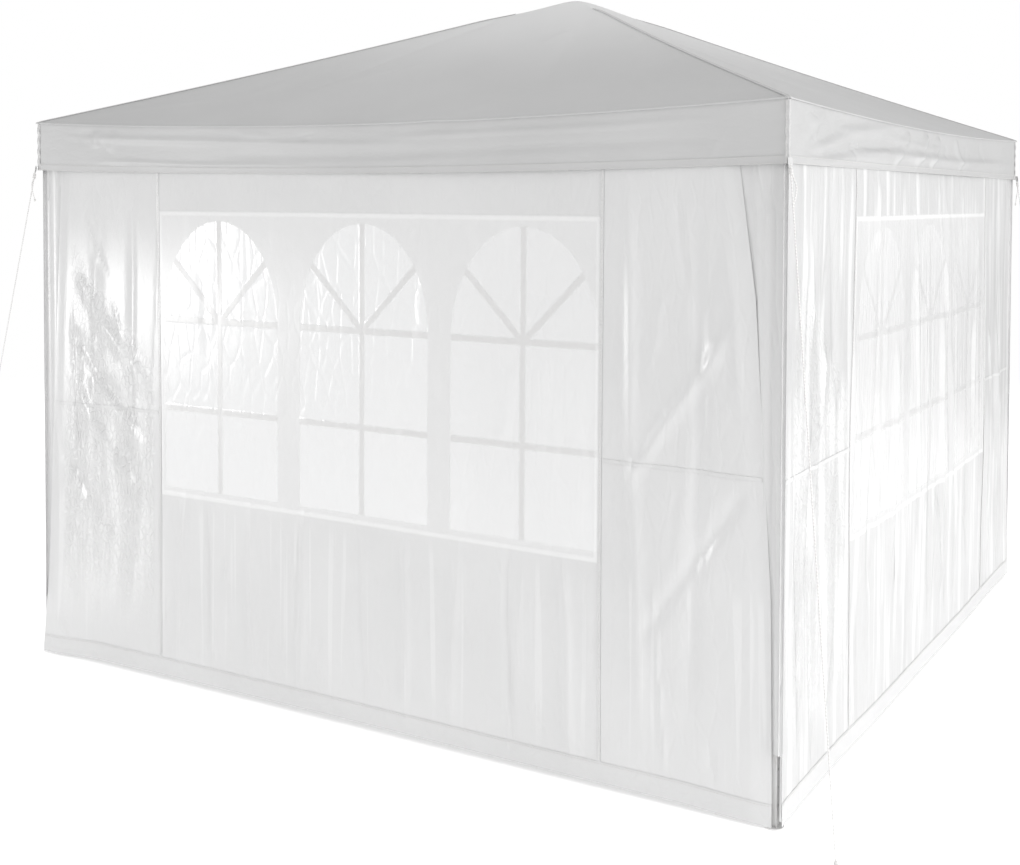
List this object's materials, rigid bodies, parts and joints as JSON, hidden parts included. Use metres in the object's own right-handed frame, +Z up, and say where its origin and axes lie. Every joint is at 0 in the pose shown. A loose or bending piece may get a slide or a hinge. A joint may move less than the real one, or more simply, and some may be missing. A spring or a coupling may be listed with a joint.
{
  "type": "pop up gazebo",
  "caption": "Square pop-up gazebo with a pyramid roof, folding scissor frame, telescopic legs, side walls with arched windows and guy ropes.",
  "frame": {"origin": "on the ground at the middle of the gazebo, level with the undersides of the feet", "axes": "+Z up, -Y towards the front, +X to the right"},
  "size_m": [3.4902, 3.4902, 2.57],
  "materials": {
    "white_steel": "white powder coat, satin",
    "bracket_plastic": "moulded, satin",
    "foot_plastic": "white powder coat",
    "wall_film": "woven polyethylene with clear film windows, glossy",
    "roof_fabric": "coated polyethylene sheet, satin",
    "rope": "twisted white rope"
  },
  "bodies": {
    "top_hub": {"top_hub": "bracket_plastic"},
    "mast": {"mast": "white_steel", "crown": "roof_fabric"},
    "centre_falling_bar_right": {"centre_falling_bar_right": "white_steel"},
    "centre_rising_bar_right": {"centre_rising_bar_right": "white_steel"},
    "upper_connector_right": {"upper_connector_right": "bracket_plastic"},
    "lower_connector_right": {"lower_connector_right": "bracket_plastic"},
    "bottom_hub": {"bottom_hub": "bracket_plastic"},
    "centre_falling_bar_left": {"centre_falling_bar_left": "white_steel"},
    "centre_rising_bar_left": {"centre_rising_bar_left": "white_steel"},
    "upper_connector_left": {"upper_connector_left": "bracket_plastic"},
    "lower_connector_left": {"lower_connector_left": "bracket_plastic"},
    "right_bar_1": {"right_bar_1": "white_steel"},
    "right_bar_2": {"right_bar_2": "white_steel"},
    "right_bar_3": {"right_bar_3": "white_steel"},
    "right_bar_4": {"right_bar_4": "white_steel"},
    "leg_front_right": {"leg_front_right": "white_steel", "corner_bracket_front_right": "bracket_plastic", "guy_rope_front_right": "rope", "wall_right": "wall_film"},
    "slider_front_right": {"slider_front_right": "bracket_plastic"},
    "leg_back_right": {"leg_back_right": "white_steel", "corner_bracket_back_right": "bracket_plastic", "guy_rope_back_right": "rope", "wall_back": "wall_film"},
    "slider_back_right": {"slider_back_right": "bracket_plastic"},
    "left_bar_1": {"left_bar_1": "white_steel"},
    "left_bar_2": {"left_bar_2": "white_steel"},
    "left_bar_3": {"left_bar_3": "white_steel"},
    "left_bar_4": {"left_bar_4": "white_steel"},
    "leg_back_left": {"leg_back_left": "white_steel", "corner_bracket_back_left": "bracket_plastic", "guy_rope_back_left": "rope", "wall_left": "wall_film"},
    "slider_back_left": {"slider_back_left": "bracket_plastic"},
    "leg_front_left": {"leg_front_left": "white_steel", "corner_bracket_front_left": "bracket_plastic", "guy_rope_front_left": "rope", "wall_front": "wall_film"},
    "slider_front_left": {"slider_front_left": "bracket_plastic"},
    "front_bar_1": {"front_bar_1": "white_steel"},
    "front_bar_2": {"front_bar_2": "white_steel"},
    "front_bar_3": {"front_bar_3": "white_steel"},
    "front_bar_4": {"front_bar_4": "white_steel"},
    "back_bar_1": {"back_bar_1": "white_steel"},
    "back_bar_2": {"back_bar_2": "white_steel"},
    "back_bar_3": {"back_bar_3": "white_steel"},
    "back_bar_4": {"back_bar_4": "white_steel"},
    "roof_panel_front": {"roof_panel_front": "roof_fabric"},
    "roof_panel_right": {"roof_panel_right": "roof_fabric"},
    "roof_panel_back": {"roof_panel_back": "roof_fabric"},
    "roof_panel_left": {"roof_panel_left": "roof_fabric"},
    "lower_leg_front_left": {"lower_leg_front_left": "white_steel", "foot_front_left": "foot_plastic"},
    "lower_leg_front_right": {"lower_leg_front_right": "white_steel", "foot_front_right": "foot_plastic"},
    "lower_leg_back_right": {"lower_leg_back_right": "white_steel", "foot_back_right": "foot_plastic"},
    "lower_leg_back_left": {"lower_leg_back_left": "white_steel", "foot_back_left": "foot_plastic"}
  },
  "joints": [
    {"name": "frame_fold", "type": "hinge", "parent": "top_hub", "child": "centre_falling_bar_right", "pos_m": [0.032, 0, 1.94], "axis": [0, 1, 0], "range_deg": [0, 76.2], "deforming": ["wall_front", "wall_right", "wall_back", "wall_left", "roof_panel_front", "roof_panel_right", "roof_panel_back", "roof_panel_left"]},
    {"name": "centre_right_crossing", "type": "hinge", "parent": "centre_falling_bar_right", "child": "centre_rising_bar_right", "pos_m": [0.73, 0, 1.82], "axis": [0, 1, 0], "range_deg": [-152.4, 0]},
    {"name": "upper_connector_right_pivot", "type": "hinge", "parent": "centre_rising_bar_right", "child": "upper_connector_right", "pos_m": [1.428, 0, 1.94], "axis": [0, 1, 0], "range_deg": [0, 76.2]},
    {"name": "lower_connector_right_pivot", "type": "hinge", "parent": "centre_falling_bar_right", "child": "lower_connector_right", "pos_m": [1.428, 0, 1.7], "axis": [0, 1, 0], "range_deg": [-76.2, 0]},
    {"name": "bottom_hub_pivot", "type": "hinge", "parent": "centre_rising_bar_right", "child": "bottom_hub", "pos_m": [0.032, 0, 1.7], "axis": [0, 1, 0], "range_deg": [0, 76.2]},
    {"name": "centre_left_fold", "type": "hinge", "parent": "top_hub", "child": "centre_falling_bar_left", "pos_m": [-0.032, 0, 1.94], "axis": [0, -1, 0], "range_deg": [0, 76.2]},
    {"name": "centre_left_crossing", "type": "hinge", "parent": "centre_falling_bar_left", "child": "centre_rising_bar_left", "pos_m": [-0.73, 0, 1.82], "axis": [0, -1, 0], "range_deg": [-152.4, 0]},
    {"name": "upper_connector_left_pivot", "type": "hinge", "parent": "centre_rising_bar_left", "child": "upper_connector_left", "pos_m": [-1.428, 0, 1.94], "axis": [0, -1, 0], "range_deg": [0, 76.2]},
    {"name": "lower_connector_left_pivot", "type": "hinge", "parent": "centre_falling_bar_left", "child": "lower_connector_left", "pos_m": [-1.428, 0, 1.7], "axis": [0, -1, 0], "range_deg": [-76.2, 0]},
    {"name": "right_bar_2_top_pivot", "type": "hinge", "parent": "upper_connector_right", "child": "right_bar_2", "pos_m": [1.46, 0, 1.94], "axis": [-1, 0, 0], "range_deg": [-76.2, 0]},
    {"name": "right_bar_1_crossing", "type": "hinge", "parent": "right_bar_2", "child": "right_bar_1", "pos_m": [1.46, -0.698, 1.82], "axis": [-1, 0, 0], "range_deg": [0, 152.4]},
    {"name": "right_bar_3_top_pivot", "type": "hinge", "parent": "upper_connector_right", "child": "right_bar_3", "pos_m": [1.46, 0, 1.94], "axis": [-1, 0, 0], "range_deg": [0, 76.2]},
    {"name": "right_bar_4_crossing", "type": "hinge", "parent": "right_bar_3", "child": "right_bar_4", "pos_m": [1.46, 0.698, 1.82], "axis": [-1, 0, 0], "range_deg": [-152.4, 0]},
    {"name": "leg_front_right_pivot", "type": "hinge", "parent": "right_bar_1", "child": "leg_front_right", "pos_m": [1.46, -1.396, 1.94], "axis": [-1, 0, 0], "range_deg": [-76.2, 0]},
    {"name": "slider_front_right_pivot", "type": "hinge", "parent": "right_bar_2", "child": "slider_front_right", "pos_m": [1.46, -1.396, 1.7], "axis": [-1, 0, 0], "range_deg": [0, 76.2]},
    {"name": "leg_back_right_pivot", "type": "hinge", "parent": "right_bar_4", "child": "leg_back_right", "pos_m": [1.46, 1.396, 1.94], "axis": [-1, 0, 0], "range_deg": [0, 76.2]},
    {"name": "slider_back_right_pivot", "type": "hinge", "parent": "right_bar_3", "child": "slider_back_right", "pos_m": [1.46, 1.396, 1.7], "axis": [-1, 0, 0], "range_deg": [-76.2, 0]},
    {"name": "left_bar_2_top_pivot", "type": "hinge", "parent": "upper_connector_left", "child": "left_bar_2", "pos_m": [-1.46, 0, 1.94], "axis": [1, 0, 0], "range_deg": [-76.2, 0]},
    {"name": "left_bar_1_crossing", "type": "hinge", "parent": "left_bar_2", "child": "left_bar_1", "pos_m": [-1.46, 0.698, 1.82], "axis": [1, 0, 0], "range_deg": [0, 152.4]},
    {"name": "left_bar_3_top_pivot", "type": "hinge", "parent": "upper_connector_left", "child": "left_bar_3", "pos_m": [-1.46, 0, 1.94], "axis": [1, 0, 0], "range_deg": [0, 76.2]},
    {"name": "left_bar_4_crossing", "type": "hinge", "parent": "left_bar_3", "child": "left_bar_4", "pos_m": [-1.46, -0.698, 1.82], "axis": [1, 0, 0], "range_deg": [-152.4, 0]},
    {"name": "leg_back_left_pivot", "type": "hinge", "parent": "left_bar_1", "child": "leg_back_left", "pos_m": [-1.46, 1.396, 1.94], "axis": [1, 0, 0], "range_deg": [-76.2, 0]},
    {"name": "slider_back_left_pivot", "type": "hinge", "parent": "left_bar_2", "child": "slider_back_left", "pos_m": [-1.46, 1.396, 1.7], "axis": [1, 0, 0], "range_deg": [0, 76.2]},
    {"name": "leg_front_left_pivot", "type": "hinge", "parent": "left_bar_4", "child": "leg_front_left", "pos_m": [-1.46, -1.396, 1.94], "axis": [1, 0, 0], "range_deg": [0, 76.2]},
    {"name": "slider_front_left_pivot", "type": "hinge", "parent": "left_bar_3", "child": "slider_front_left", "pos_m": [-1.46, -1.396, 1.7], "axis": [1, 0, 0], "range_deg": [-76.2, 0]},
    {"name": "front_bar_1_top_pivot", "type": "hinge", "parent": "leg_front_left", "child": "front_bar_1", "pos_m": [-1.396, -1.46, 1.94], "axis": [0, 1, 0], "range_deg": [0, 76.2]},
    {"name": "front_bar_2_crossing", "type": "hinge", "parent": "front_bar_1", "child": "front_bar_2", "pos_m": [-0.698, -1.46, 1.82], "axis": [0, 1, 0], "range_deg": [-152.4, 0]},
    {"name": "front_bar_4_top_pivot", "type": "hinge", "parent": "leg_front_right", "child": "front_bar_4", "pos_m": [1.396, -1.46, 1.94], "axis": [0, 1, 0], "range_deg": [-76.2, 0]},
    {"name": "front_bar_3_crossing", "type": "hinge", "parent": "front_bar_4", "child": "front_bar_3", "pos_m": [0.698, -1.46, 1.82], "axis": [0, 1, 0], "range_deg": [0, 152.4]},
    {"name": "back_bar_1_top_pivot", "type": "hinge", "parent": "leg_back_right", "child": "back_bar_1", "pos_m": [1.396, 1.46, 1.94], "axis": [0, -1, 0], "range_deg": [0, 76.2]},
    {"name": "back_bar_2_crossing", "type": "hinge", "parent": "back_bar_1", "child": "back_bar_2", "pos_m": [0.698, 1.46, 1.82], "axis": [0, -1, 0], "range_deg": [-152.4, 0]},
    {"name": "back_bar_4_top_pivot", "type": "hinge", "parent": "leg_back_left", "child": "back_bar_4", "pos_m": [-1.396, 1.46, 1.94], "axis": [0, -1, 0], "range_deg": [-76.2, 0]},
    {"name": "back_bar_3_crossing", "type": "hinge", "parent": "back_bar_4", "child": "back_bar_3", "pos_m": [-0.698, 1.46, 1.82], "axis": [0, -1, 0], "range_deg": [0, 152.4]},
    {"name": "mast_slide", "type": "slide", "parent": "top_hub", "child": "mast", "axis": [0, 0, -1], "range_m": [0, 0.27889]},
    {"name": "roof_panel_front_seam", "type": "hinge", "parent": "mast", "child": "roof_panel_front", "pos_m": [0, -0.22, 2.48933], "axis": [1, 0, 0], "range_deg": [0, 69.86]},
    {"name": "roof_panel_right_seam", "type": "hinge", "parent": "mast", "child": "roof_panel_right", "pos_m": [0.22, 0, 2.48933], "axis": [0, 1, 0], "range_deg": [0, 69.86]},
    {"name": "roof_panel_back_seam", "type": "hinge", "parent": "mast", "child": "roof_panel_back", "pos_m": [0, 0.22, 2.48933], "axis": [-1, 0, 0], "range_deg": [0, 69.86]},
    {"name": "roof_panel_left_seam", "type": "hinge", "parent": "mast", "child": "roof_panel_left", "pos_m": [-0.22, 0, 2.48933], "axis": [0, -1, 0], "range_deg": [0, 69.86]},
    {"name": "lower_leg_front_left_slide", "type": "slide", "parent": "leg_front_left", "child": "lower_leg_front_left", "axis": [0, 0, 1], "range_m": [0, 0.4]},
    {"name": "lower_leg_front_right_slide", "type": "slide", "parent": "leg_front_right", "child": "lower_leg_front_right", "axis": [0, 0, 1], "range_m": [0, 0.4]},
    {"name": "lower_leg_back_right_slide", "type": "slide", "parent": "leg_back_right", "child": "lower_leg_back_right", "axis": [0, 0, 1], "range_m": [0, 0.4]},
    {"name": "lower_leg_back_left_slide", "type": "slide", "parent": "leg_back_left", "child": "lower_leg_back_left", "axis": [0, 0, 1], "range_m": [0, 0.4]}
  ],
  "couplings": [
    {"joint": "centre_right_crossing", "follows": "frame_fold", "ratio": -2},
    {"joint": "upper_connector_right_pivot", "follows": "frame_fold", "ratio": 1},
    {"joint": "lower_connector_right_pivot", "follows": "frame_fold", "ratio": -1},
    {"joint": "bottom_hub_pivot", "follows": "frame_fold", "ratio": 1},
    {"joint": "centre_left_fold", "follows": "frame_fold", "ratio": 1},
    {"joint": "centre_left_crossing", "follows": "frame_fold", "ratio": -2},
    {"joint": "upper_connector_left_pivot", "follows": "frame_fold", "ratio": 1},
    {"joint": "lower_connector_left_pivot", "follows": "frame_fold", "ratio": -1},
    {"joint": "right_bar_2_top_pivot", "follows": "frame_fold", "ratio": -1},
    {"joint": "right_bar_1_crossing", "follows": "frame_fold", "ratio": 2},
    {"joint": "right_bar_3_top_pivot", "follows": "frame_fold", "ratio": 1},
    {"joint": "right_bar_4_crossing", "follows": "frame_fold", "ratio": -2},
    {"joint": "leg_front_right_pivot", "follows": "frame_fold", "ratio": -1},
    {"joint": "slider_front_right_pivot", "follows": "frame_fold", "ratio": 1},
    {"joint": "leg_back_right_pivot", "follows": "frame_fold", "ratio": 1},
    {"joint": "slider_back_right_pivot", "follows": "frame_fold", "ratio": -1},
    {"joint": "left_bar_2_top_pivot", "follows": "frame_fold", "ratio": -1},
    {"joint": "left_bar_1_crossing", "follows": "frame_fold", "ratio": 2},
    {"joint": "left_bar_3_top_pivot", "follows": "frame_fold", "ratio": 1},
    {"joint": "left_bar_4_crossing", "follows": "frame_fold", "ratio": -2},
    {"joint": "leg_back_left_pivot", "follows": "frame_fold", "ratio": -1},
    {"joint": "slider_back_left_pivot", "follows": "frame_fold", "ratio": 1},
    {"joint": "leg_front_left_pivot", "follows": "frame_fold", "ratio": 1},
    {"joint": "slider_front_left_pivot", "follows": "frame_fold", "ratio": -1},
    {"joint": "front_bar_1_top_pivot", "follows": "frame_fold", "ratio": 1},
    {"joint": "front_bar_2_crossing", "follows": "frame_fold", "ratio": -2},
    {"joint": "front_bar_4_top_pivot", "follows": "frame_fold", "ratio": -1},
    {"joint": "front_bar_3_crossing", "follows": "frame_fold", "ratio": 2},
    {"joint": "back_bar_1_top_pivot", "follows": "frame_fold", "ratio": 1},
    {"joint": "back_bar_2_crossing", "follows": "frame_fold", "ratio": -2},
    {"joint": "back_bar_4_top_pivot", "follows": "frame_fold", "ratio": -1},
    {"joint": "back_bar_3_crossing", "follows": "frame_fold", "ratio": 2},
    {"joint": "mast_slide", "follows": "frame_fold", "m_per_rad": 0.2097},
    {"joint": "roof_panel_front_seam", "follows": "frame_fold", "ratio": 0.9168},
    {"joint": "roof_panel_right_seam", "follows": "frame_fold", "ratio": 0.9168},
    {"joint": "roof_panel_back_seam", "follows": "frame_fold", "ratio": 0.9168},
    {"joint": "roof_panel_left_seam", "follows": "frame_fold", "ratio": 0.9168}
  ]
}
